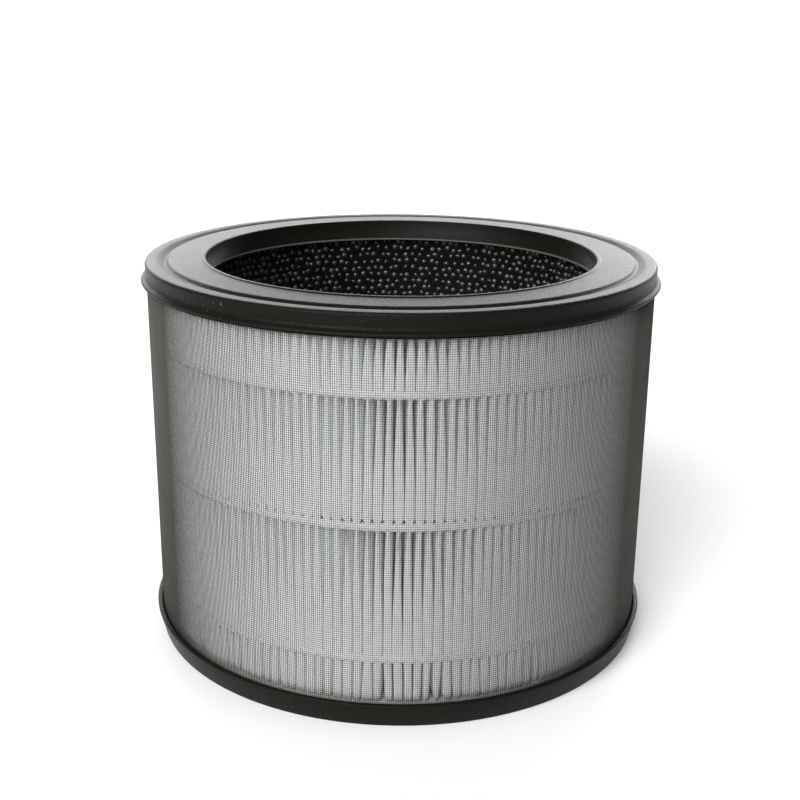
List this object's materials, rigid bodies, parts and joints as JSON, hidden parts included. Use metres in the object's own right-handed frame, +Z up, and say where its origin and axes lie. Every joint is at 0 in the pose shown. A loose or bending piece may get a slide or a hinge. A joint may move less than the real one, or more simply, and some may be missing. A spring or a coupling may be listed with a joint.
{
  "type": "air purifier filter",
  "caption": "Round air purifier filter cartridge: pleated white media and a carbon bed behind a fine dark mesh sleeve, held between two black end caps with an open bore.",
  "frame": {"origin": "centre of the underside of the bottom tray, where the cartridge stands", "axes": "+Z up along the bore's axis, towards the stepped top cap; X and Y are any two square directions across the round body"},
  "size_m": [0.1914, 0.1914, 0.1424],
  "materials": {
    "cap_plastic": "fine spark-eroded texture, charcoal",
    "potting": "smooth set adhesive, off-white",
    "media": "white bonded fibre paper",
    "glue": "milky set hot-melt",
    "carbon": "black carbon pellets",
    "liner": "thin white non-woven",
    "net": "extruded net, black",
    "mesh": "fine woven nylon, charcoal"
  },
  "bodies": {
    "root": {"top_cap": "cap_plastic", "bottom_tray": "cap_plastic", "top_potting": "potting", "bottom_potting": "potting", "pleated_media": "media", "outer_glue_bead_1": "glue", "outer_glue_bead_2": "glue", "outer_glue_bead_3": "glue", "inner_glue_bead_1": "glue", "inner_glue_bead_2": "glue", "inner_glue_bead_3": "glue", "carbon_bed": "carbon", "carbon_liner": "liner", "bore_net": "net", "mesh_sleeve": "mesh"}
  },
  "joints": []
}
